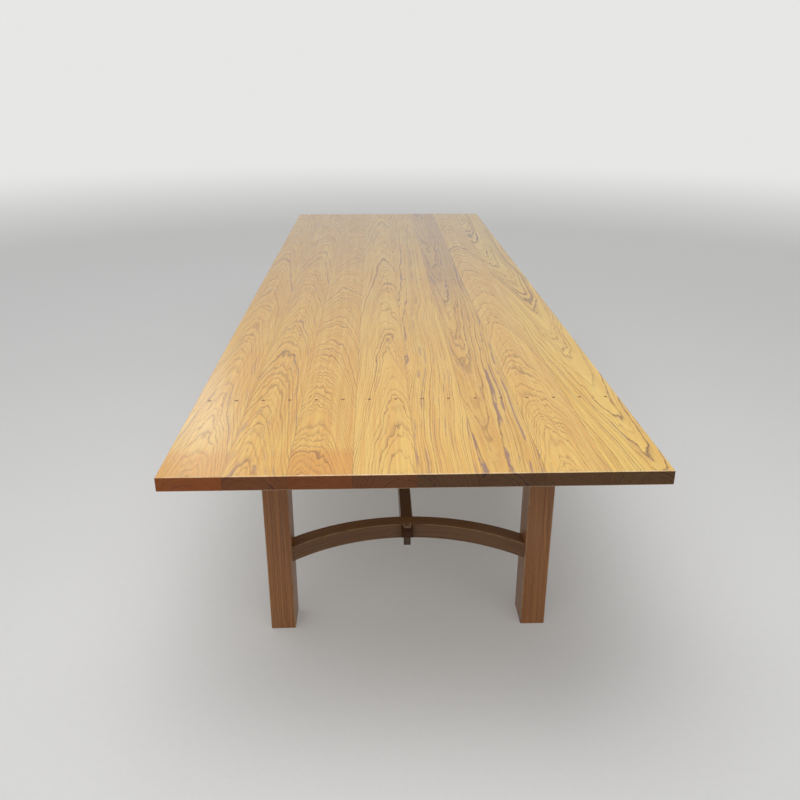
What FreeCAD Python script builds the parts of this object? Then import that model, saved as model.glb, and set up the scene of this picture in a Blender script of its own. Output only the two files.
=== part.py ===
import FreeCAD
import Part
import math
import os

Vector = FreeCAD.Vector

# Long oak dining table on two trestles, in millimetres.
# X runs across the table, Y along it and Z up. The origin is on the floor under the middle of the top.
# Near is the -Y end and left is the -X side.

# Top of edge-glued boards
table_height = 750.0
top_length = 3800.0
top_width = 1200.0
top_thickness = 38.0
board_count = 8
top_arris = 2.0

# Loose tongues hidden in the glued board joints
tongue_thickness = 8.0
tongue_width = 24.0
tongue_stop = 60.0

# Cross bearers under the top, two on the trestles and one at mid length
bearer_width = 90.0
bearer_height = 80.0
middle_bearer_width = 80.0
middle_bearer_height = 55.0
bearer_margin = 15.0
bearer_taper_length = 110.0
bearer_taper_height = 18.0

# Screws through the top into the bearers, each under a plug
screws_per_board = 2
plug_diameter = 10.0
plug_length = 12.0
screw_head_diameter = 9.0
screw_head_height = 4.0
screw_shank_diameter = 5.0
screw_bite = 30.0
screw_point = 6.0

# Legs, set in from the sides and ends of the top to their middles
# The tenon up into the bearer stops short of the screws by the cover
leg_width = 75.0
leg_depth = 100.0
leg_side_inset = 210.0
trestle_inset = 460.0
leg_arris = 2.0
leg_tenon_shoulder = 10.0
leg_tenon_thickness = 32.0
leg_tenon_cover = 6.0

# Stretcher of each trestle, curved in plan towards the middle of the table
curve_thickness = 50.0
curve_height = 50.0
curve_bottom = 232.0
curve_sagitta = 119.0
curve_arris = 2.0
curve_tenon_length = 45.0
curve_tenon_thickness = 20.0
curve_tenon_shoulder = 8.0
landing_depth = 1.0
landing_margin = 4.0

# Long stretcher between the two curves, flush with their tops
stretcher_width = 40.0
stretcher_height = 60.0
stretcher_arris = 2.0
through_tenon_shoulder = 2.0
through_tenon_height = 20.0
through_tenon_drop = 8.0
through_tenon_relish = 12.0

# Tusk wedges that lock the long stretcher
wedge_width = 22.0
wedge_top_depth = 24.0
wedge_bottom_depth = 19.0
wedge_length = 69.0
wedge_rise = 4.0
wedge_arris = 1.5
wedge_slot_relief = 5.0

# Pegs across the tenons of legs and curved stretchers
peg_diameter = 10.0
leg_peg_spacing = 28.0
stretcher_peg_stop = 20.0

# Clearances
joint_gap = 0.1
peg_gap = 0.05
plug_gap = 0.05
screw_gap = 0.1
wedge_fit = 0.2
mortise_room = 1.0

# Levels and places that follow from the sizes above
top_underside = table_height - top_thickness
board_width = top_width / board_count
screw_pitch = board_width / screws_per_board
counterbore_bottom = table_height - plug_length - screw_head_height
screw_tip = top_underside - screw_bite
leg_shoulder = top_underside - bearer_height
leg_tenon_height = bearer_height - screw_bite - leg_tenon_cover
leg_peg_level = leg_shoulder + leg_tenon_height / 2
leg_x = top_width / 2 - leg_side_inset
leg_inner = leg_x - leg_width / 2
trestle_y = trestle_inset - top_length / 2
curve_top = curve_bottom + curve_height
curve_middle = curve_bottom + curve_height / 2
curve_tenon_height = curve_height - 2 * curve_tenon_shoulder
curve_radius = (leg_inner ** 2 + curve_sagitta ** 2) / (2 * curve_sagitta)
curve_apex = trestle_y + curve_sagitta
curve_axis = curve_apex - curve_radius
outer_landing = curve_apex - curve_thickness / 2 + landing_depth
inner_landing = curve_apex + curve_thickness / 2 - landing_depth
landing_width = stretcher_width + 2 * landing_margin
through_tenon_width = stretcher_width - 2 * through_tenon_shoulder
tenon_top = curve_top - through_tenon_drop
tenon_bottom = tenon_top - through_tenon_height
wedge_top = curve_top + wedge_rise
wedge_bottom = wedge_top - wedge_length
wedge_back = outer_landing - wedge_fit
LEFT, RIGHT = -1, 1


def wedge_front(z):
    """Y of the wedge's sloping face at height z."""
    share = (z - wedge_bottom) / wedge_length
    return wedge_back - wedge_bottom_depth - share * (wedge_top_depth - wedge_bottom_depth)


through_tenon_end = wedge_front(tenon_top) - wedge_fit - through_tenon_relish


# Solids that the pieces are made from

def block(x, y, z, width, depth, height):
    """A box centred on (x, y) that stands on height z."""
    return Part.makeBox(width, depth, height, Vector(x - width / 2, y - depth / 2, z))


def upright_rod(x, y, bottom, top, diameter):
    return Part.makeCylinder(diameter / 2, top - bottom, Vector(x, y, bottom), Vector(0, 0, 1))


def level_rod(x, y, z, diameter, length):
    """A round bar that starts at (x, y, z) and runs along +Y."""
    return Part.makeCylinder(diameter / 2, length, Vector(x, y, z), Vector(0, 1, 0))


def outline_face(points):
    return Part.Face(Part.makePolygon(points + points[:1]))


def same(a, b):
    return math.isclose(a, b, abs_tol=1e-4)


def arrises(shape, test):
    """Edges of a straight-sided solid whose two ends pass the test."""
    return [edge for edge in shape.Edges if test(*(vertex.Point for vertex in edge.Vertexes))]


def far_end(shape):
    """The same piece at the far trestle: the table is alike after half a turn."""
    turned = shape.copy()
    turned.rotate(Vector(0, 0, 0), Vector(0, 0, 1), 180)
    return turned


# Rows of screws and plugs

def row_places():
    """X of each screw of a row, evenly spread over the boards."""
    first = (screw_pitch - top_width) / 2
    return [first + index * screw_pitch for index in range(board_count * screws_per_board)]


def fixing_rows():
    """Y of each row, over the near, middle and far bearers."""
    return {"near": trestle_y, "middle": 0.0, "far": -trestle_y}


def plug(x, y):
    return upright_rod(x, y, table_height - plug_length, table_height, plug_diameter)


def screw(x, y):
    head_top = counterbore_bottom + screw_head_height
    head = upright_rod(x, y, counterbore_bottom, head_top, screw_head_diameter)
    shank = upright_rod(x, y, screw_tip + screw_point, counterbore_bottom, screw_shank_diameter)
    point = Part.makeCone(0, screw_shank_diameter / 2, screw_point, Vector(x, y, screw_tip))
    return head.fuse([shank, point]).removeSplitter()


def screw_hole(x, y):
    """Counterbore for plug and head, and the hole for the shank through board and bearer."""
    bore = upright_rod(x, y, counterbore_bottom, table_height, plug_diameter + 2 * plug_gap)
    pilot_bottom = screw_tip - mortise_room
    pilot = upright_rod(x, y, pilot_bottom, counterbore_bottom, screw_shank_diameter + 2 * screw_gap)
    return bore.fuse(pilot)


def row_of(make, y):
    return Part.makeCompound([make(x, y) for x in row_places()])


# Top

def joint_x(index):
    """X of the glued joint on the right of board number index."""
    return index * board_width - top_width / 2


def tongue(index, gap=0.0):
    """A loose tongue, or with a gap the groove for it."""
    length = top_length - 2 * tongue_stop + 2 * gap
    thickness = tongue_thickness + 2 * gap
    z = table_height - (top_thickness + thickness) / 2
    return block(joint_x(index), 0, z, tongue_width + 2 * gap, length, thickness)


def board(index):
    x = joint_x(index) - board_width / 2
    blank = block(x, 0, top_underside, board_width, top_length, top_thickness)

    def on_outline(a, b):
        at_end = same(abs(a.y), top_length / 2) and same(a.y, b.y)
        at_side = same(abs(a.x), top_width / 2) and same(a.x, b.x)
        return same(a.z, b.z) and (at_end or at_side)

    shape = blank.makeChamfer(top_arris, arrises(blank, on_outline))
    cuts = [tongue(joint, joint_gap) for joint in (index - 1, index) if 0 < joint < board_count]
    own_places = [place for place in row_places() if abs(place - x) < board_width / 2]
    for y in fixing_rows().values():
        cuts.extend(screw_hole(place, y) for place in own_places)
    return shape.cut(cuts)


# Bearers

def bearer(y, width, height):
    """A cross bearer whose underside rises towards both ends."""
    reach = top_width / 2 - bearer_margin
    flat = reach - bearer_taper_length
    bottom = top_underside - height
    tip = bottom + bearer_taper_height
    front = y - width / 2
    face = outline_face([
        Vector(-reach, front, top_underside), Vector(-reach, front, tip),
        Vector(-flat, front, bottom), Vector(flat, front, bottom),
        Vector(reach, front, tip), Vector(reach, front, top_underside),
    ])
    shape = face.extrude(Vector(0, width, 0))
    return shape.cut([screw_hole(x, y) for x in row_places()])


def leg_tenon(side, gap=0.0, room=0.0):
    """The tenon on a leg's top, or with a gap and some room the mortise for it."""
    width = leg_width - 2 * leg_tenon_shoulder + 2 * gap
    thickness = leg_tenon_thickness + 2 * gap
    return block(side * leg_x, trestle_y, leg_shoulder, width, thickness, leg_tenon_height + room)


def leg_pegs(gap=0.0):
    """Pegs across both leg tenons of the near trestle, or with a gap their holes."""
    start = trestle_y - bearer_width / 2
    half = leg_peg_spacing / 2
    places = [side * leg_x + shift for side in (LEFT, RIGHT) for shift in (-half, half)]
    return [level_rod(x, start, leg_peg_level, peg_diameter + 2 * gap, bearer_width) for x in places]


def trestle_bearer():
    shape = bearer(trestle_y, bearer_width, bearer_height)
    mortises = [leg_tenon(side, joint_gap, mortise_room) for side in (LEFT, RIGHT)]
    return shape.cut(mortises + leg_pegs(peg_gap))


# Legs

def curve_tenon(side, gap=0.0, room=0.0):
    """The tenon on a curve's end, or with a gap and some room the mortise for it."""
    length = curve_tenon_length + room
    thickness = curve_tenon_thickness + 2 * gap
    height = curve_tenon_height + 2 * gap
    x = side * (leg_inner + length / 2)
    return block(x, trestle_y, curve_middle - height / 2, length, thickness, height)


def stretcher_peg(side, gap=0.0):
    """The peg across a curve's tenon, from the leg's back, or with a gap its hole."""
    x = side * (leg_inner + curve_tenon_length / 2)
    front = trestle_y - leg_depth / 2 + stretcher_peg_stop
    return level_rod(x, front, curve_middle, peg_diameter + 2 * gap, leg_depth - stretcher_peg_stop)


def leg(side):
    post = block(side * leg_x, trestle_y, 0, leg_width, leg_depth, leg_shoulder)
    upright_or_foot = arrises(post, lambda a, b: same(a.z, 0) or not same(a.z, b.z))
    shape = post.makeChamfer(leg_arris, upright_or_foot).fuse(leg_tenon(side))
    mortise = curve_tenon(side, joint_gap, mortise_room)
    return shape.cut(leg_pegs(peg_gap) + [mortise, stretcher_peg(side, peg_gap)])


# Curved stretcher

def curve_bar():
    """Half a ring of the curve's section, which is square with its arrises taken off."""
    inner = curve_radius - curve_thickness / 2
    outer = curve_radius + curve_thickness / 2
    section = [
        (inner + curve_arris, curve_bottom), (outer - curve_arris, curve_bottom),
        (outer, curve_bottom + curve_arris), (outer, curve_top - curve_arris),
        (outer - curve_arris, curve_top), (inner + curve_arris, curve_top),
        (inner, curve_top - curve_arris), (inner, curve_bottom + curve_arris),
    ]
    face = outline_face([Vector(radius, curve_axis, z) for radius, z in section])
    return face.revolve(Vector(0, curve_axis, 0), Vector(0, 0, 1), 180)


def landing(face_y, outward):
    """What is planed off the curve to give a wedge or a shoulder a flat face to bear on."""
    y = face_y + outward * curve_thickness / 2
    return block(0, y, curve_bottom, landing_width, curve_thickness, curve_height)


def curved_stretcher():
    span = block(0, curve_apex, curve_bottom, 2 * leg_inner, 2 * curve_radius, curve_height)
    shape = curve_bar().common(span)
    shape = shape.fuse([curve_tenon(side) for side in (LEFT, RIGHT)])
    width = through_tenon_width + 2 * joint_gap
    height = through_tenon_height + 2 * joint_gap
    mortise = block(0, curve_apex, tenon_bottom - joint_gap, width, 2 * curve_thickness, height)
    peg_holes = [stretcher_peg(side, peg_gap) for side in (LEFT, RIGHT)]
    return shape.cut(peg_holes + [mortise, landing(outer_landing, -1), landing(inner_landing, 1)])


# Long stretcher and its wedges

def tapered_block(width, back, low, high, gap):
    """A block of the near wedge's slope between two heights, larger than the wedge by a gap."""
    left = -width / 2
    face = outline_face([
        Vector(left, back, low), Vector(left, back, high),
        Vector(left, wedge_front(high) - gap, high), Vector(left, wedge_front(low) - gap, low),
    ])
    return face.extrude(Vector(width, 0, 0))


def wedge():
    blank = tapered_block(wedge_width, wedge_back, wedge_bottom, wedge_top, 0.0)
    head = arrises(blank, lambda a, b: same(a.z, wedge_top) and same(b.z, wedge_top))
    return blank.makeChamfer(wedge_arris, head)


def wedge_slot():
    """The wedge's hole, which reaches behind the landing so that the wedge can draw tight."""
    width = wedge_width + 2 * wedge_fit
    back = outer_landing + wedge_slot_relief
    return tapered_block(width, back, tenon_bottom - mortise_room, tenon_top + mortise_room, wedge_fit)


def long_stretcher():
    bar = block(0, 0, curve_top - stretcher_height, stretcher_width, -2 * inner_landing, stretcher_height)
    bar = bar.makeChamfer(stretcher_arris, arrises(bar, lambda a, b: not same(a.y, b.y)))
    tenons = block(0, 0, tenon_bottom, through_tenon_width, -2 * through_tenon_end, through_tenon_height)
    slot = wedge_slot()
    return bar.fuse(tenons).removeSplitter().cut([slot, far_end(slot)])


def pieces():
    """Every node of the table with its solid or group of solids."""
    nodes = {}
    for index in range(1, board_count + 1):
        nodes[f"top_board_{index}"] = board(index)
    for index in range(1, board_count):
        nodes[f"top_tongue_{index}"] = tongue(index)

    nodes["near_bearer"] = trestle_bearer()
    nodes["middle_bearer"] = bearer(0, middle_bearer_width, middle_bearer_height)
    nodes["far_bearer"] = far_end(nodes["near_bearer"])
    for row, y in fixing_rows().items():
        nodes[f"{row}_row_plugs"] = row_of(plug, y)
        nodes[f"{row}_row_screws"] = row_of(screw, y)

    nodes["near_left_leg"] = leg(LEFT)
    nodes["near_right_leg"] = leg(RIGHT)
    nodes["far_left_leg"] = far_end(nodes["near_right_leg"])
    nodes["far_right_leg"] = far_end(nodes["near_left_leg"])
    nodes["near_leg_pegs"] = Part.makeCompound(leg_pegs())
    nodes["far_leg_pegs"] = far_end(nodes["near_leg_pegs"])

    nodes["near_curved_stretcher"] = curved_stretcher()
    nodes["far_curved_stretcher"] = far_end(nodes["near_curved_stretcher"])
    nodes["near_stretcher_pegs"] = Part.makeCompound([stretcher_peg(side) for side in (LEFT, RIGHT)])
    nodes["far_stretcher_pegs"] = far_end(nodes["near_stretcher_pegs"])

    nodes["long_stretcher"] = long_stretcher()
    nodes["near_wedge"] = wedge()
    nodes["far_wedge"] = far_end(nodes["near_wedge"])
    return nodes


os.makedirs("parts", exist_ok=True)
for name, shape in pieces().items():
    shape.exportStep(f"parts/{name}.step")
    print(name, len(shape.Solids), "solid(s)", round(shape.Volume / 1000), "cm3", shape.isValid())
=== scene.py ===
# %% [markdown]
# A long oak table, step by step
#
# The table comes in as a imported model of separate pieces, in metres, with the floor at height zero.
# Nothing is moved or reshaped here. The steps below place a camera, light a plain studio and give every
# piece a finish made of shader nodes, from the grain of each board down to the bare pegs inside the
# joints.

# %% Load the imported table
import math
import bmesh
import bpy
from mathutils import Matrix, Vector


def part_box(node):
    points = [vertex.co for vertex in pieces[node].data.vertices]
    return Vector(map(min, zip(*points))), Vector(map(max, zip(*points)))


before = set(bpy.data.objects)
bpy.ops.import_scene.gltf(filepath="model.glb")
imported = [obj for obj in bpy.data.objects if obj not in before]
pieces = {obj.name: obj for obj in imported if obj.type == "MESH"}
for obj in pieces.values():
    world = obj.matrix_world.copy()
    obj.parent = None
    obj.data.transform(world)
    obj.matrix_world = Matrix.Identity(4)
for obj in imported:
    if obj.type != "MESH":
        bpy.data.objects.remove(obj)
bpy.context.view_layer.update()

scene = bpy.context.scene

# %% [markdown]
# The camera
#
# The table is seen by someone standing at its end. The eye height, distance and lens below were worked
# out from the corners of the top and the feet of the legs, so the boards run together as they should. A
# camera could also be aimed with a constraint, but three plain turns are easier to read and to change. A
# camera looks down its own -Z, so a quarter turn about X makes it level, and the tilt is taken off that.

# %% Place the camera
eye = Vector((-0.0908, -3.5019, 1.5862))
tilt_down = math.radians(22.15)
turn_right = math.radians(1.808)
roll = math.radians(0.058)
focal_pixels = 783.9
picture_pixels = 800
sensor_width = 36.0

lens = bpy.data.cameras.new("end_view")
lens.sensor_width = sensor_width
lens.lens = focal_pixels / picture_pixels * sensor_width
camera = bpy.data.objects.new("end_view", lens)
scene.collection.objects.link(camera)
level = math.pi / 2
aim = Matrix.Rotation(-turn_right, 4, "Z") @ Matrix.Rotation(level - tilt_down, 4, "X")
camera.matrix_world = Matrix.Translation(eye) @ aim @ Matrix.Rotation(roll, 4, "Z")
scene.camera = camera
print("lens:", round(lens.lens, 2), "mm, eye height:", round(eye.z, 2), "m")

# %% [markdown]
# A bench for shader nodes
#
# A finish is a tree of small nodes. Wiring them by hand in the editor is fine for one material, but here
# the same few moves come back all the time: do some sums, stretch a noise along the grain, blend two
# colours. The bench below makes each of them one line. A value may be a number, a colour or another
# node's socket.

# %% Make the bench
class Bench:
    """Places nodes in one shader tree and wires them up."""

    def __init__(self, tree):
        self.tree = tree

    def node(self, kind, values=(), **settings):
        placed = self.tree.nodes.new(kind)
        for setting, choice in settings.items():
            setattr(placed, setting, choice)
        for key, value in dict(values).items():
            if isinstance(value, bpy.types.NodeSocket):
                self.tree.links.new(value, placed.inputs[key])
            else:
                placed.inputs[key].default_value = value
        return placed

    def sum(self, operation, *values):
        return self.node("ShaderNodeMath", enumerate(values), operation=operation).outputs[0]

    def times(self, product, *values):
        """All the values multiplied together."""
        for value in values:
            product = self.sum("MULTIPLY", product, value)
        return product

    def arrow(self, operation, *values):
        placed = self.node("ShaderNodeVectorMath", enumerate(values), operation=operation)
        return placed.outputs["Value" if operation in ("DOT_PRODUCT", "LENGTH") else "Vector"]

    def parts(self, arrow):
        return self.node("ShaderNodeSeparateXYZ", {0: arrow}).outputs

    def joined(self, x, y, z):
        return self.node("ShaderNodeCombineXYZ", {0: x, 1: y, 2: z}).outputs[0]

    def noise(self, place, patch, detail=2.0):
        """Soft noise from 0 to 1 with patches of about the given size on each axis."""
        stretched = self.arrow("DIVIDE", place, patch)
        values = {"Vector": stretched, "Scale": 1.0, "Detail": detail}
        return self.node("ShaderNodeTexNoise", values).outputs[0]

    def row_noise(self, value, scale=1.0):
        """Soft noise from 0 to 1 that changes with one value, such as the count of the rings."""
        values = {"W": value, "Scale": scale}
        return self.node("ShaderNodeTexNoise", values, noise_dimensions="1D").outputs[0]

    def span(self, value, low, high, start=0.0, end=1.0):
        """Goes smoothly from start to end while the value goes from low to high."""
        values = {0: value, 1: low, 2: high, 3: start, 4: end}
        return self.node("ShaderNodeMapRange", values, interpolation_type="SMOOTHSTEP").outputs[0]

    def blend(self, share, first, second, way="MIX"):
        values = {0: share, 6: first, 7: second}
        return self.node("ShaderNodeMix", values, data_type="RGBA", blend_type=way).outputs[2]

    def ramp(self, value, stops):
        placed = self.node("ShaderNodeValToRGB", {0: value})
        elements = placed.color_ramp.elements
        while len(elements) < len(stops):
            elements.new(1.0)
        for element, (position, grey) in zip(elements, stops):
            element.position = position
            element.color = (grey, grey, grey, 1.0)
        return placed.outputs[0]


def effect(name, inputs, outputs):
    """A new node group with its own bench, and the sockets that it takes from and gives to."""
    tree = bpy.data.node_groups.new(name, "ShaderNodeTree")
    kinds = {"value": "NodeSocketFloat", "arrow": "NodeSocketVector", "colour": "NodeSocketColor"}
    for direction, sockets in (("INPUT", inputs), ("OUTPUT", outputs)):
        for socket, kind in sockets.items():
            tree.interface.new_socket(socket, in_out=direction, socket_type=kinds[kind])
    bench = Bench(tree)
    return bench, bench.node("NodeGroupInput").outputs, bench.node("NodeGroupOutput").inputs


def new_finish(name):
    """A new material with an empty tree, and a bench to fill it."""
    material = bpy.data.materials.new(name)
    material.use_nodes = True
    material.node_tree.nodes.clear()
    return material, Bench(material.node_tree)


print("bench ready")

# %% [markdown]
# The studio
#
# The table stands on a plain pale floor in soft light. The floor is one large disc, and far from the
# table it fades into the colour of the sky around it, so no line shows where it ends. A curved backdrop
# would do the same from the front, but it would stand in the way when the table is looked at from
# behind. The sky that the eye and the lacquer see is pale at the horizon and dimmer overhead, so the far
# end of the top takes on a soft sheen at a low angle. The light that the sky sheds on the table is kept
# low, with more from in front, from a middling height up: it reaches the legs, and the overhang of the
# top shades their upper ends. The floor looks pale, but it throws back only a part of that light, so the
# underside of the table stays dark.

# %% Set the sky
scene.view_settings.view_transform = "Standard"
pale_sky, dim_sky = (0.80, 0.80, 0.79, 1.0), (0.30, 0.30, 0.30, 1.0)
horizon, overhead = 0.11, 0.40
white = (1, 1, 1, 1)
sky_light = 0.12
front_light = 1.02
front_low, front_high = 0.30, 0.48
front_side, front_middle = -0.25, -0.55


def seen_directly(bench):
    """1 for rays from the eye, from a reflection or through glass, 0 for light that spreads."""
    rays = bench.node("ShaderNodeLightPath").outputs
    mirrored = bench.sum("MAXIMUM", rays["Is Glossy Ray"], rays["Is Transmission Ray"])
    return bench.sum("MAXIMUM", rays["Is Camera Ray"], mirrored)


world = bpy.data.worlds.new("studio_sky")
scene.world = world
world.use_nodes = True
world.node_tree.nodes.clear()
bench = Bench(world.node_tree)
sky_way = bench.parts(bench.node("ShaderNodeTexCoord").outputs["Generated"])
ahead, height = sky_way[1], sky_way[2]
high_up = bench.span(height, front_low, front_high)
in_front = bench.times(high_up, bench.span(ahead, front_side, front_middle))
shed = bench.sum("MULTIPLY_ADD", in_front, front_light, sky_light)
spread = bench.node("ShaderNodeBackground", {"Color": white, "Strength": shed})
graded = bench.blend(bench.span(height, horizon, overhead), pale_sky, dim_sky)
shown = bench.node("ShaderNodeBackground", {"Color": graded, "Strength": 1.0})
shares = {0: seen_directly(bench), 1: spread.outputs[0], 2: shown.outputs[0]}
sky = bench.node("ShaderNodeMixShader", shares)
bench.node("ShaderNodeOutputWorld", {"Surface": sky.outputs[0]})
print("sky:", world.name, "light:", sky_light, "and from in front:", front_light)

# %% Lay the floor
floor_radius, floor_sides = 60.0, 96
fade_start, fade_end = 2.5, 14.0
floor_glow = 0.20
floor_pale, floor_paler = (0.68, 0.68, 0.675, 1), (0.72, 0.72, 0.715, 1)
floor_bounce = (0.37, 0.37, 0.365, 1)
speckle_patch = (0.02, 0.02, 0.02)

disc = bmesh.new()
bmesh.ops.create_circle(disc, cap_ends=True, segments=floor_sides, radius=floor_radius)
floor_mesh = bpy.data.meshes.new("studio_floor")
disc.to_mesh(floor_mesh)
disc.free()
floor = bpy.data.objects.new("studio_floor", floor_mesh)
scene.collection.objects.link(floor)

paint, bench = new_finish("pale_floor")
place = bench.node("ShaderNodeTexCoord").outputs["Object"]
seen = seen_directly(bench)
far_off = bench.span(bench.arrow("LENGTH", place), fade_start, fade_end)
share = bench.times(bench.sum("MAXIMUM", far_off, floor_glow), seen)
pale = bench.blend(bench.noise(place, speckle_patch), floor_pale, floor_paler)
colour = bench.blend(seen, floor_bounce, pale)
matt = bench.node("ShaderNodeBsdfPrincipled", {"Base Color": colour, "Roughness": 0.8})
glow = bench.node("ShaderNodeEmission", {"Color": pale_sky, "Strength": 1.0})
mixed = bench.node("ShaderNodeMixShader", {0: share, 1: matt.outputs[0], 2: glow.outputs[0]})
bench.node("ShaderNodeOutputMaterial", {"Surface": mixed.outputs[0]})
floor_mesh.materials.append(paint)
print("floor:", floor.name, "radius:", floor_radius, "m")

# %% [markdown]
# The lamps
#
# A wide soft lamp hangs over the near end, and wide daylight comes down from the far left. A small,
# slightly blue lamp stands beyond the far left corner, as a window would, and leaves a pale gleam on the
# left of the near end. Wide lamps give soft shadows, as a bright room does. Small strong spots would
# give hard edges and hot glints on the lacquer.

# %% Hang the lamps
def soft_lamp(name, place, target, width, height, watts, tint=(1, 1, 1)):
    light = bpy.data.lights.new(name, "AREA")
    light.shape = "RECTANGLE"
    light.size = width
    light.size_y = height
    light.energy = watts
    light.color = tint
    lamp = bpy.data.objects.new(name, light)
    lamp.location = place
    lamp.rotation_euler = (Vector(target) - Vector(place)).to_track_quat("-Z", "Y").to_euler()
    scene.collection.objects.link(lamp)
    return lamp


near_end, over_near_end = (0.1, -1.55, 0.7), (-0.1, -1.75, 3.0)
near_left, far_left = (-0.5, -1.62, 0.75), (-1.82, 3.5, 2.95)
window_tint = (0.75, 0.92, 1.0)
day_strength = 0.88
day_width = math.radians(70)
day_turns = (math.radians(-14), math.radians(-18), 0)
lamps = [
    soft_lamp("overhead_lamp", over_near_end, near_end, width=2.2, height=2.2, watts=42.0),
    soft_lamp("window_lamp", far_left, near_left, width=0.6, height=0.9, watts=3.6, tint=window_tint),
]
day = bpy.data.lights.new("daylight", "SUN")
day.energy = day_strength
day.angle = day_width
lamps.append(bpy.data.objects.new("daylight", day))
lamps[-1].rotation_euler = day_turns
scene.collection.objects.link(lamps[-1])
print("lamps:", [lamp.name for lamp in lamps])

# %% [markdown]
# Which way the grain runs
#
# Wood looks right only if its grain runs along the piece, so every oak finish starts from a place
# measured in millimetres across the grain, along it and into the depth. Stretched UVs could do that, but
# the CAD pieces have none. A straight piece needs only its middle and two directions. The facing of the
# surface is turned the same way, so that end grain and rubbed edges can be told from the flat faces.

# %% Make the straight grain effect
millimetres = (1000.0, 1000.0, 1000.0)
bench, given, gives = effect(
    "straight_grain",
    {"Middle": "arrow", "Across": "arrow", "Along": "arrow"},
    {"Place": "arrow", "Facing": "arrow"},
)
surface = bench.node("ShaderNodeTexCoord").outputs
inward = bench.arrow("CROSS_PRODUCT", given["Across"], given["Along"])
directions = (given["Across"], given["Along"], inward)
from_middle = bench.arrow("SUBTRACT", surface["Object"], given["Middle"])
place = bench.arrow("MULTIPLY", from_middle, millimetres)
along_grain = bench.joined(*(bench.arrow("DOT_PRODUCT", place, way) for way in directions))
turned = bench.joined(*(bench.arrow("DOT_PRODUCT", surface["Normal"], way) for way in directions))
bench.tree.links.new(along_grain, gives["Place"])
bench.tree.links.new(turned, gives["Facing"])
straight_grain = bench.tree
print("effect:", straight_grain.name)

# %% [markdown]
# Grain that follows a curve
#
# The curved stretchers are steamed and bent, so their grain runs round the bend. With straight grain
# they would look as if they had been sawn from a wide plank. Seen from the middle of the bend, across
# the grain is the distance from the middle, along it is the angle times the radius. The far bend mirrors
# the near one, so the angle is taken from the size of Y, not its sign.

# %% Make the bent grain effect
bench, given, gives = effect(
    "bent_grain",
    {"Bend Middle": "arrow", "Bend Radius": "value"},
    {"Place": "arrow", "Facing": "arrow"},
)
upward = (0.0, 0.0, 1.0)
surface = bench.node("ShaderNodeTexCoord").outputs
reach = bench.arrow("SUBTRACT", surface["Object"], given["Bend Middle"])
x, y, z = bench.parts(reach)
outward = bench.arrow("NORMALIZE", bench.joined(x, y, 0.0))
sideways = bench.arrow("CROSS_PRODUCT", outward, upward)
distance = bench.arrow("DOT_PRODUCT", reach, outward)
angle = bench.sum("ARCTAN2", x, bench.sum("ABSOLUTE", y))
round_bend = bench.joined(
    bench.sum("SUBTRACT", distance, given["Bend Radius"]),
    bench.times(angle, given["Bend Radius"]),
    z,
)
bench.tree.links.new(bench.arrow("MULTIPLY", round_bend, millimetres), gives["Place"])
turned = bench.joined(
    bench.arrow("DOT_PRODUCT", surface["Normal"], outward),
    bench.arrow("DOT_PRODUCT", surface["Normal"], sideways),
    bench.parts(surface["Normal"])[2],
)
bench.tree.links.new(turned, gives["Facing"])
bent_grain = bench.tree
print("effect:", bent_grain.name)

# %% [markdown]
# Plain-sawn oak
#
# A board cut beside the heart of a log shows its year rings as tall arches, because the saw cuts the
# rings' tapering cones at a slant. A picture could be painted for that, but a small model of the log is
# better: it also gives the right rings on the edges and the end grain. The distance from the heart, bent
# by some noise and growing along the log, is counted off in rings. The heart may cross the board at a
# slant, so the arches wander from side to side. Each ring starts with a band of dark open pores, bolder
# towards the root, and some rings hold a purple-grey mineral stain. Fine fibres, short pore dashes and
# slow changes of tone come on top. End grain and open pores soak the lacquer up, so they shine less than
# the rest.

# %% Count the rings of the oak
bench, given, gives = effect(
    "plain_sawn_oak",
    {
        "Place": "arrow", "Facing": "arrow", "Heart Across": "value", "Heart Slant": "value",
        "Heart Depth": "value", "Lean": "value", "Ring": "value", "Wave": "value", "Lines": "value",
        "Streaks": "value", "Root Stain": "value", "Amber": "value", "Log": "value",
        "Pale": "colour", "Warm": "colour", "Dark": "colour", "End": "colour", "Roughness": "value",
    },
    {"Color": "colour", "Roughness": "value", "Height": "value", "Lacquer": "value"},
)
log_step = (731.0, 1913.0, 397.0)
drift_patch, drift_reach = (420.0, 1100.0, 420.0), 90.0
wave_patch, wave_reach = (55.0, 300.0, 55.0), 2.0
ripple_patch, ripple_reach = (14.0, 80.0, 14.0), 8.5
season_step, season_width, season_reach = 53.0, 21.0, 3.2
calm_limits, calmest = (0.3, 0.8), 0.3


def swing(value, reach):
    """Noise turned into a swing to both sides of zero."""
    return bench.times(bench.sum("SUBTRACT", value, 0.5), reach)


log_shift = bench.arrow("SCALE", log_step)
bench.tree.links.new(given["Log"], log_shift.node.inputs["Scale"])
place = bench.arrow("ADD", given["Place"], log_shift)
across, along, depth = bench.parts(given["Place"])
drift = swing(bench.noise(place, drift_patch), drift_reach)
heart = bench.sum("MULTIPLY_ADD", along, given["Heart Slant"], given["Heart Across"])
sideways = bench.sum("ADD", bench.sum("SUBTRACT", across, heart), drift)
inward = bench.sum("SUBTRACT", depth, given["Heart Depth"])
from_heart = bench.arrow("LENGTH", bench.joined(sideways, inward, 0.0))
wave = bench.times(swing(bench.noise(place, wave_patch), wave_reach), given["Wave"])
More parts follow.
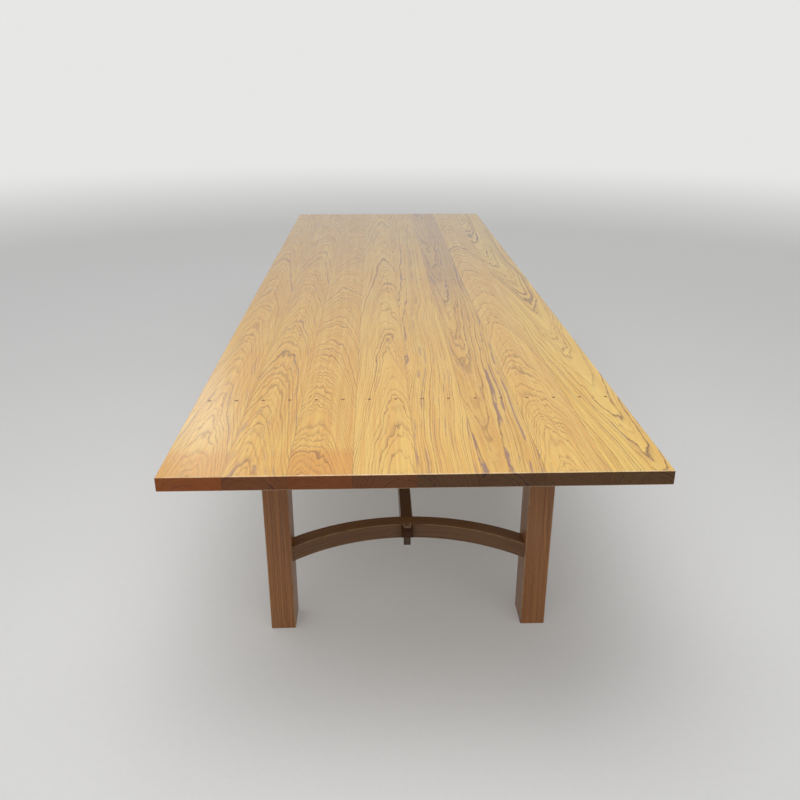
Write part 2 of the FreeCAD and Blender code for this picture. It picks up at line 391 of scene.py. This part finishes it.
# the lines ripple less where the rings stand steep in the board
steepness = bench.sum("DIVIDE", bench.sum("ABSOLUTE", sideways), from_heart)
calm = bench.span(steepness, *calm_limits, start=1.0, end=calmest)
ripple = bench.times(swing(bench.noise(place, ripple_patch, detail=2.5), ripple_reach), calm)
lean = bench.times(along, given["Lean"])
bent = bench.sum("ADD", bench.sum("ADD", from_heart, wave), ripple)
grown = bench.sum("SUBTRACT", bent, lean)
# good and poor years make some rings wider than others
season = bench.sum("MULTIPLY_ADD", given["Log"], season_step, bench.sum("DIVIDE", grown, season_width))
good_years = swing(bench.row_noise(season), season_reach)
rings = bench.sum("ADD", bench.sum("DIVIDE", grown, given["Ring"]), good_years)
print("effect:", bench.tree.name, "- rings counted")

# %% Add pores and stains to the oak
# each stop is a place within the ring, from 0 to 1, and how dark its open pores make it
pore_stops = [(0.0, 1.0), (0.09, 0.9), (0.23, 0.24), (0.5, 0.05), (0.88, 0.0), (1.0, 1.0)]
ring_change = 0.7
bold_ring_limits, faintest_ring = (0.34, 0.64), 0.25
bold_patch, bold_patch_limits, faintest_patch = (60.0, 420.0, 60.0), (0.3, 0.65), 0.5
dash_patch, dash_limits, dash_gap, dash_fill = (1.1, 24.0, 1.1), (0.40, 0.60), 0.55, 1.12
root_limits, root_boldness = (-1000.0, 1000.0), 1.6
stained_ring_limits, stain_fade = (0.52, 0.64), (1.0, 0.55)
stain_patch, stain_limits = (22.0, 190.0, 22.0), (0.47, 0.58)
steep_limits, flat_stain = (0.05, 0.40), 0.4
smoke_patch, smoke_limits, thin_smoke = (230.0, 900.0, 230.0), (0.30, 0.60), 0.4
smoke_reach = (-700.0, 0.0)

within_ring = bench.sum("FRACT", rings)
pore_band = bench.ramp(within_ring, pore_stops)
ring_by_ring = bench.row_noise(rings, ring_change)
bold_rings = bench.span(ring_by_ring, *bold_ring_limits, start=faintest_ring)
bold_patches = bench.span(bench.noise(place, bold_patch), *bold_patch_limits, start=faintest_patch)
strength = bench.times(bold_rings, bold_patches)
dashed = bench.span(bench.noise(place, dash_patch), *dash_limits, start=dash_gap, end=dash_fill)
towards_root = bench.span(along, *root_limits, start=1.0, end=root_boldness)
boldness = bench.times(towards_root, given["Lines"])
band = bench.times(pore_band, dashed, strength, boldness)

stain_in_ring = bench.span(within_ring, *stain_fade)
stained_ring = bench.times(bench.span(ring_by_ring, *stained_ring_limits), stain_in_ring)
stained_patch = bench.span(bench.noise(place, stain_patch, detail=3.0), *stain_limits)
steep = bench.span(steepness, *steep_limits, start=flat_stain)
stained = bench.times(stained_ring, stained_patch, steep)
smoky = bench.span(bench.noise(place, smoke_patch), *smoke_limits, start=thin_smoke)
rooted = bench.times(smoky, bench.span(along, *smoke_reach), given["Root Stain"])
stain = bench.sum("MAXIMUM", bench.times(stained, given["Streaks"]), rooted)
print("effect:", bench.tree.name, "- pores and stains added")

# %% Add fibres and tone to the oak
fibre_patch, fibre_limits = (1.7, 190.0, 1.7), (0.30, 0.72)
pore_patch, pore_limits = (0.7, 11.0, 0.7), (0.58, 0.66)
band_pores, stray_pores = 0.75, 0.25
streak_patch, tone_patch, tone_limits = (8.0, 520.0, 8.0), (90.0, 380.0, 90.0), (0.34, 0.66)
streak_share, patch_share = 0.65, 0.35
amber_reach = (-1740.0, -1800.0)

fibres = bench.span(bench.noise(place, fibre_patch, detail=4.0), *fibre_limits)
dashes = bench.span(bench.noise(place, pore_patch, detail=1.0), *pore_limits)
pores = bench.times(dashes, bench.sum("MULTIPLY_ADD", pore_band, band_pores, stray_pores))
streaky = bench.span(bench.noise(place, streak_patch, detail=3.0), *tone_limits)
patches = bench.span(bench.noise(place, tone_patch, detail=4.0), *tone_limits)
tone = bench.sum("MULTIPLY_ADD", streaky, streak_share, bench.times(patches, patch_share))
near_the_end = bench.span(bench.sum("ADD", along, drift), *amber_reach)
ambered = bench.times(near_the_end, given["Amber"])
print("effect:", bench.tree.name, "- fibres and tone added")

# %% Colour the oak
mineral_stain = (0.33, 0.19, 0.13, 1)
amber = (0.68, 0.30, 0.055, 1)
black = (0, 0, 0, 1)
fibre_share, pore_share, pore_shade = 0.16, 0.45, 0.5
end_limits = (0.72, 0.95)

faces = bench.parts(bench.arrow("ABSOLUTE", given["Facing"]))
end_grain = bench.span(faces[1], *end_limits)
wood = bench.blend(tone, given["Pale"], given["Warm"])
wood = bench.blend(ambered, wood, amber)
wood = bench.blend(bench.times(fibres, fibre_share), wood, given["Dark"])
wood = bench.blend(band, wood, given["Dark"])
wood = bench.blend(stain, wood, mineral_stain)
pore_colour = bench.blend(pore_shade, given["Dark"], black)
wood = bench.blend(bench.times(pores, pore_share), wood, pore_colour)
wood = bench.blend(end_grain, wood, bench.blend(1.0, wood, given["End"], "MULTIPLY"))
bench.tree.links.new(wood, gives["Color"])
print("effect:", bench.tree.name, "- coloured")

# %% Set the sheen and the relief of the oak
band_depth, pore_depth, fibre_height = 0.5, 0.6, 0.2
open_roughness, end_roughness = 0.16, 0.18
pore_soak, lacquer_loss = 0.5, 0.85

open_grain = bench.sum("ADD", bench.times(band, band_depth), bench.times(pores, pore_depth))
rough = bench.sum("MULTIPLY_ADD", open_grain, open_roughness, given["Roughness"])
rough = bench.sum("MULTIPLY_ADD", end_grain, end_roughness, rough)
bench.tree.links.new(rough, gives["Roughness"])
soaked = bench.sum("MAXIMUM", end_grain, bench.times(pores, pore_soak))
bench.tree.links.new(bench.sum("MULTIPLY_ADD", soaked, -lacquer_loss, 1.0), gives["Lacquer"])
proud = bench.sum("SUBTRACT", bench.times(fibres, fibre_height), open_grain)
bench.tree.links.new(proud, gives["Height"])
oak = bench.tree
print("effect:", oak.name, "- nodes:", len(oak.nodes))

# %% [markdown]
# Wear
#
# Hands and cloths rub the sharp edges first: the lacquer thins there and the wood shows lighter. That
# pale edge is made strong enough to be a painted highlight as well, where the chamfers catch the light.
# Hands and cloths also leave the sheen a little uneven. Edge wear is often taken from the mesh's
# pointiness, but that needs a dense mesh. These pieces have real chamfers, and a chamfer is the only
# face that looks along none of the three directions.

# %% Make the wear effect
bench, given, gives = effect(
    "wear",
    {"Place": "arrow", "Facing": "arrow", "Color": "colour", "Roughness": "value", "Rubbed": "value"},
    {"Color": "colour", "Roughness": "value"},
)
flat_to_chamfer = (0.97, 0.78)
rub_patch, rub_limits, least_rub = (25.0, 60.0, 25.0), (0.3, 0.6), 0.3
# the pale rubbed colour is partly wear and partly a painted highlight where the chamfers catch the light
rubbed_wood_and_highlight, rubbed_and_highlight_share = (0.97, 0.76, 0.48, 1.0), 0.75
smear_patch, smear_reach = (90.0, 130.0, 90.0), 0.05
# soft noise seldom leaves these limits
most_noise = (0.3, 0.7)

x, y, z = bench.parts(bench.arrow("ABSOLUTE", given["Facing"]))
squarest = bench.sum("MAXIMUM", bench.sum("MAXIMUM", x, y), z)
chamfer = bench.span(squarest, *flat_to_chamfer)
patchy = bench.span(bench.noise(given["Place"], rub_patch, detail=3.0), *rub_limits, start=least_rub)
rubbed = bench.times(chamfer, patchy, given["Rubbed"])
lighter = bench.blend(rubbed_and_highlight_share, given["Color"], rubbed_wood_and_highlight)
bench.tree.links.new(bench.blend(rubbed, given["Color"], lighter), gives["Color"])
uneven = bench.noise(given["Place"], smear_patch, detail=3.0)
smears = bench.span(uneven, *most_noise, start=-smear_reach, end=smear_reach)
bench.tree.links.new(bench.sum("ADD", given["Roughness"], smears), gives["Roughness"])
wear = bench.tree
print("effect:", wear.name)

# %% [markdown]
# Glue lines
#
# The boards are planed flush, so a joint shows only as a hair of dark glue and a change of grain. The
# line could be cut as a tiny groove, but it is thinner than the groove a saw could leave. It is drawn
# from the distance to the next joint, which falls at every board's width from the middle, and not at the
# outer sides of the top.

# %% Make the glue line effect
first_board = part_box("top_board_1")
board_width = first_board[1].x - first_board[0].x
top_half = -first_board[0].x
line_core, line_edge, line_share = 0.0003, 0.0011, 0.38
glue = (0.12, 0.06, 0.03, 1.0)

bench, given, gives = effect("glue_line", {"Color": "colour"}, {"Color": "colour"})
x = bench.parts(bench.node("ShaderNodeTexCoord").outputs["Object"])[0]
to_joint = bench.sum("PINGPONG", x, board_width / 2)
line = bench.span(to_joint, line_core, line_edge, start=line_share, end=0.0)
inside = bench.sum("LESS_THAN", bench.sum("ABSOLUTE", x), top_half - board_width / 2)
glued = bench.blend(bench.times(line, inside), given["Color"], glue)
bench.tree.links.new(glued, gives["Color"])
glue_line = bench.tree
print("boards are", round(board_width * 1000, 1), "mm wide")

# %% [markdown]
# From effects to a finish
#
# Every oak finish is wired the same way: where the grain runs, then the oak, then the wear, and a satin
# lacquer over it. Each could be wired by hand, but then every change would have to be made in all of
# them. The functions below do that wiring. What differs from piece to piece is only how it was cut from
# its log, its tones and its lacquer.

# %% Make the oak finish
X, Y, Z = Vector((1, 0, 0)), Vector((0, 1, 0)), Vector((0, 0, 1))
grain_relief, relief_strength = 0.0003, 0.5
top_lacquer = {"Coat Weight": 1.0, "Coat Roughness": 0.22, "Specular IOR Level": 0.25}
base_lacquer = {"Coat Weight": 0.5, "Coat Roughness": 0.35, "Specular IOR Level": 0.25}
no_lacquer = {"Coat Weight": 0.0, "Specular IOR Level": 0.3}


def straight(bench, node, across, along):
    """The place along the grain of a straight piece, measured from the middle of its box."""
    low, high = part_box(node)
    values = {"Middle": (low + high) / 2, "Across": across, "Along": along}
    return bench.node("ShaderNodeGroup", values, node_tree=straight_grain).outputs


def oak_finish(bench, grain, log, sawn, tones, lacquer, rubbed=0.5):
    """Oak with some wear under a lacquer, as the shader's sockets and a height for the bump."""
    where = {"Place": grain["Place"], "Facing": grain["Facing"]}
    wood = bench.node("ShaderNodeGroup", {**where, "Log": log, **sawn, **tones}, node_tree=oak).outputs
    bare = {"Color": wood["Color"], "Roughness": wood["Roughness"], "Rubbed": rubbed}
    worn = bench.node("ShaderNodeGroup", {**where, **bare}, node_tree=wear).outputs
    sockets = {**lacquer, "Base Color": worn["Color"], "Roughness": worn["Roughness"]}
    if lacquer["Coat Weight"]:
        sockets["Coat Weight"] = bench.times(wood["Lacquer"], lacquer["Coat Weight"])
    return sockets, wood["Height"]


def dress(bench, sockets, height, relief=grain_relief):
    """Ends a finish with its shader, from sockets or values by name and a height for the bump."""
    values = {"Height": height, "Strength": relief_strength, "Distance": relief}
    bump = bench.node("ShaderNodeBump", values)
    shader = bench.node("ShaderNodeBsdfPrincipled", {**sockets, "Normal": bump.outputs[0]})
    bench.node("ShaderNodeOutputMaterial", {"Surface": shader.outputs[0]})


def give(material, *names):
    """Puts one finish on each of the named pieces, in place of what they came with."""
    for name in names:
        slots = pieces[name].data.materials
        slots.clear()
        slots.append(material)


print("axes:", X, Y, Z)

# %% Name the cuts and the tones
cut_names = (
    "Heart Across", "Heart Depth", "Heart Slant", "Lean", "Ring", "Wave", "Lines", "Streaks",
    "Amber", "Root Stain",
)


def cut(*numbers):
    """How a piece lay in its log, as the oak's inputs by name. Names with no number stay at zero."""
    return dict(zip(cut_names, numbers))


def tone_set(pale, warm, dark, end, roughness=0.45):
    """The colours and the roughness of a wood, as the oak's inputs by name."""
    colours = {"Pale": pale, "Warm": warm, "Dark": dark, "End": end}
    return {"Roughness": roughness, **{name: (*colour, 1) for name, colour in colours.items()}}


print("a cut has up to", len(cut_names), "numbers:", ", ".join(cut_names))

# %% [markdown]
# The boards of the top
#
# The eight boards come from different logs. One wood for the whole top would be less work, but it would
# look like a sheet of veneer. The tones go from rosy and orange on the left to straw on the right, and
# the sixth has strong purple-grey streaks and a dusky far half, as wood from near the root has. On the
# left the last hand's breadth has turned amber. The heart of the log lies below the face. Where it lies
# to one side, the grain comes out straight, and the sign of the lean says whether the arches point away
# from the near end or towards it. The end grain soaks up stain and shows darker, and the end tones also
# hold painted shade, ruddy on the left and growing dusky towards the right.

# %% Finish the boards
rosy = (0.80, 0.51, 0.135), (0.72, 0.38, 0.085)
orange = (0.805, 0.51, 0.14), (0.72, 0.387, 0.091)
gold = (0.83, 0.55, 0.16), (0.75, 0.42, 0.105)
tan = (0.79, 0.52, 0.15), (0.70, 0.385, 0.097)
straw = (0.86, 0.59, 0.155), (0.77, 0.455, 0.10)
ring_line = (0.24, 0.11, 0.052)
# the end tones are partly end grain soaking up stain and partly painted shade, darker towards the right
ruddy_end, russet_end = (0.53, 0.29, 0.30), (0.40, 0.24, 0.26)
brown_end, umber_end = (0.33, 0.20, 0.25), (0.26, 0.15, 0.18)
dusky_end = (0.195, 0.15, 0.21)
# the top's rubbed edges are strong enough to show as a painted highlight line along the chamfers
top_rubbed_and_highlight = 0.75
# each board's cut, its pale and warm tones, its end tone and the log that it comes from
boards = [
    (cut(-26, -44, -0.012, -0.070, 5.2, 8, 0.80, 0.5, 0.55), rosy, ruddy_end, 1),
    (cut(2, -42, 0.010, -0.085, 5.2, 10, 0.92, 0.7, 0.2), rosy, brown_end, 2),
    (cut(10, -66, 0.025, -0.120, 4.6, 11, 0.98, 0.1, 0.6), orange, russet_end, 103),
    (cut(34, -40, -0.008, -0.058, 4.9, 9, 0.90, 0.15), gold, umber_end, 94),
    (cut(-96, -56, 0.0, 0.022, 4.6, 6, 1.0, 0.8), gold, dusky_end, 5),
    (cut(-34, -40, 0.0, 0.026, 6.0, 8, 1.15, 1.8, 0.0, 0.4), tan, dusky_end, 96),
    (cut(-16, -52, 0.0, -0.100, 4.8, 12, 0.98, 0.1), gold, dusky_end, 97),
    (cut(-14, -40, -0.030, 0.050, 7.8, 8, 1.5, 0.2), straw, dusky_end, 118),
]
for number, (sawn, (pale, warm), end, log) in enumerate(boards, start=1):
    name = f"top_board_{number}"
    material, bench = new_finish(f"honey_oak_{number}")
    grain = straight(bench, name, X, Y)
    tones = tone_set(pale, warm, ring_line, end)
    sockets, height = oak_finish(bench, grain, log, sawn, tones, top_lacquer, top_rubbed_and_highlight)
    jointed = bench.node("ShaderNodeGroup", {"Color": sockets["Base Color"]}, node_tree=glue_line)
    sockets["Base Color"] = jointed.outputs[0]
    dress(bench, sockets, height)
    give(material, name)
print("boards finished:", len(boards))

# %% [markdown]
# The base
#
# Legs, bearers and stretchers are browner than the top. The long stretcher is the darkest, and its dark
# tones are painted shade, for the shade that it sits in under the top and behind the curve. The grain of
# a leg runs up it, that of a bearer across the table and that of the long stretcher along it. One shared
# material would run the grain of some of them the wrong way, so each has its own, although the oak is
# the same.

# %% Finish the straight pieces of the base
base_cut = cut(90, -60, 0.0, 0.012, 4.4, 6, 0.85, 0.3)
leg_tones = tone_set((0.56, 0.25, 0.09), (0.40, 0.16, 0.052), (0.15, 0.06, 0.03), (0.55, 0.45, 0.42))
# the long stretcher's tones are painted shade: far darker than the legs, for the shade under the top
long_tones_painted_shade = tone_set((0.17, 0.077, 0.029), (0.13, 0.055, 0.020), (0.07, 0.030, 0.015), (0.55, 0.5, 0.5))
first_base_log = 20
base_grain = {
    "near_left_leg": (X, Z, leg_tones), "near_right_leg": (X, Z, leg_tones),
    "far_left_leg": (X, Z, leg_tones), "far_right_leg": (X, Z, leg_tones),
    "near_bearer": (Y, X, leg_tones), "middle_bearer": (Y, X, leg_tones), "far_bearer": (Y, X, leg_tones),
    "long_stretcher": (X, Y, long_tones_painted_shade),
}
for log, (name, (across, along, tones)) in enumerate(base_grain.items(), start=first_base_log):
    material, bench = new_finish(f"brown_oak_{name}")
    grain = straight(bench, name, across, along)
    dress(bench, *oak_finish(bench, grain, log, base_cut, tones, base_lacquer))
    give(material, name)
print("base pieces finished:", len(base_grain))

# %% [markdown]
# The curved stretchers
#
# The radius of the bend could be typed in, but then it would not follow a change of the model. It is
# worked out from the width between the legs and from how far the stretcher bows: half the width is one
# side of a right-angled triangle whose longest side is the radius.

# %% Finish the curved stretchers
# the curved stretchers' tones are darker than the legs' with painted shade, for the top's shade over them
curve_tones_painted_shade = tone_set((0.315, 0.16, 0.068), (0.23, 0.108, 0.042), (0.10, 0.047, 0.026), (0.6, 0.5, 0.45))
first_curve_log = 40
for log, end in enumerate(("near", "far"), start=first_curve_log):
    name = f"{end}_curved_stretcher"
    low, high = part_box(name)
    legs_low, legs_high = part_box(f"{end}_right_leg")
    half_span = legs_low.x
    legs_middle = (legs_low.y + legs_high.y) / 2
    towards = -1 if legs_middle > 0 else 1
    half_bar = (high.z - low.z) / 2
    crown = (high.y if towards > 0 else low.y) - towards * half_bar
    bow = abs(crown - legs_middle)
    radius = (half_span ** 2 + bow ** 2) / (2 * bow)
    bend_middle = (0.0, crown - towards * radius, (low.z + high.z) / 2)
    material, bench = new_finish(f"brown_oak_{name}")
    bend = {"Bend Middle": bend_middle, "Bend Radius": radius}
    grain = bench.node("ShaderNodeGroup", bend, node_tree=bent_grain).outputs
    dress(bench, *oak_finish(bench, grain, log, base_cut, curve_tones_painted_shade, base_lacquer))
    give(material, name)
    print(name, "bend radius:", round(radius, 3), "m")

# %% [markdown]
# Wedges, pegs and plugs
#
# The wedges are dark, and their pale heads are a painted highlight where the ends catch the light. The
# pegs sit inside the joints and are bare oak. The plugs over the screws are cut from a dark wood, and
# show as a row of dark dots. Each could have an effect of its own, but on pieces this small the same oak
# with finer rings shows all that can be seen.

# %% Finish the small oak pieces
small_cut = cut(40, -35, 0.0, 0.01, 2.4, 3, 0.5, 0.0)
# the wedges' pale end tone is a painted highlight on their heads, where the light catches them
wedge_tones_painted_highlight = tone_set(
    (0.14, 0.08, 0.048), (0.105, 0.057, 0.033), (0.045, 0.024, 0.015), (2.6, 3.0, 3.6), roughness=0.5
)
peg_tones = tone_set(
    (0.55, 0.36, 0.19), (0.46, 0.27, 0.13), (0.22, 0.12, 0.06), (0.7, 0.6, 0.55), roughness=0.6
)
plug_tones = tone_set(
    (0.38, 0.22, 0.10), (0.20, 0.10, 0.05), (0.10, 0.05, 0.03), (0.8, 0.75, 0.72), roughness=0.4
)
small_rubbed = 0.9
first_small_log = 60
small_pieces = {
    "near_wedge": (Z, wedge_tones_painted_highlight, base_lacquer), "far_wedge": (Z, wedge_tones_painted_highlight, base_lacquer),
    "near_leg_pegs": (Y, peg_tones, no_lacquer), "far_leg_pegs": (Y, peg_tones, no_lacquer),
    "near_stretcher_pegs": (Y, peg_tones, no_lacquer), "far_stretcher_pegs": (Y, peg_tones, no_lacquer),
    "near_row_plugs": (Z, plug_tones, top_lacquer), "middle_row_plugs": (Z, plug_tones, top_lacquer),
    "far_row_plugs": (Z, plug_tones, top_lacquer),
}
for log, (name, (along, tones, lacquer)) in enumerate(small_pieces.items(), start=first_small_log):
    material, bench = new_finish(f"oak_{name}")
    grain = straight(bench, name, X, along)
    dress(bench, *oak_finish(bench, grain, log, small_cut, tones, lacquer, small_rubbed))
    give(material, name)
print("small pieces finished:", len(small_pieces))

# %% [markdown]
# Tongues and screws
#
# Both are hidden inside the top. Plain colours would do while it is closed, but the table can be opened
# up. The tongues are birch plywood, which shows as thin light and dark layers on its edges. The screws
# are zinc plated steel, slightly blotched, with the marks of turning.

# %% Finish the tongues
ply_sheet, layer_change = 1.3, (0.46, 0.54)
ply_streak_patch = (1.5, 60.0, 1.5)
ply_smooth, ply_rough = 0.65, 0.8
face_ply = (0.62, 0.46, 0.28, 1), (0.72, 0.57, 0.37, 1)
end_ply = (0.42, 0.28, 0.15, 1), (0.52, 0.37, 0.21, 1)
tongue_names = [name for name in pieces if name.startswith("top_tongue")]
for name in tongue_names:
    material, bench = new_finish(f"plywood_{name}")
    grain = straight(bench, name, X, Y)
    layer = bench.sum("FRACT", bench.sum("DIVIDE", bench.parts(grain["Place"])[2], 2 * ply_sheet))
    cross_ply = bench.span(layer, *layer_change)
    streaks = bench.noise(grain["Place"], ply_streak_patch, detail=4.0)
    layers = bench.blend(cross_ply, bench.blend(streaks, *face_ply), bench.blend(streaks, *end_ply))
    rough = bench.span(streaks, *most_noise, start=ply_smooth, end=ply_rough)
    dress(bench, {"Base Color": layers, "Roughness": rough}, streaks)
    give(material, name)
print("tongues finished:", len(tongue_names))

# %% Finish the screws
blotch_patch, turning_patch = (3.0, 3.0, 3.0), (40.0, 40.0, 0.25)
blue_zinc, grey_zinc = (0.50, 0.51, 0.53, 1), (0.62, 0.62, 0.60, 1)
zinc_smooth, zinc_rough = 0.28, 0.45
turning_relief = 0.0001
screw_names = [name for name in pieces if name.endswith("_screws")]
material, bench = new_finish("zinc_steel")
place = bench.arrow("MULTIPLY", bench.node("ShaderNodeTexCoord").outputs["Object"], millimetres)
blotches = bench.noise(place, blotch_patch, detail=3.0)
turning = bench.noise(place, turning_patch, detail=1.0)
zinc = bench.blend(blotches, blue_zinc, grey_zinc)
rough = bench.span(blotches, *most_noise, start=zinc_smooth, end=zinc_rough)
dress(bench, {"Base Color": zinc, "Roughness": rough, "Metallic": 1.0}, turning, turning_relief)
give(material, *screw_names)
print("screw rows finished:", len(screw_names))

# %% [markdown]
# The last look
#
# The finishes change no shape, so the box around the table must still be the one it came with.

# %% Count the finished pieces
print("finished pieces:", sum(bool(piece.data.materials) for piece in pieces.values()), "of", len(pieces))
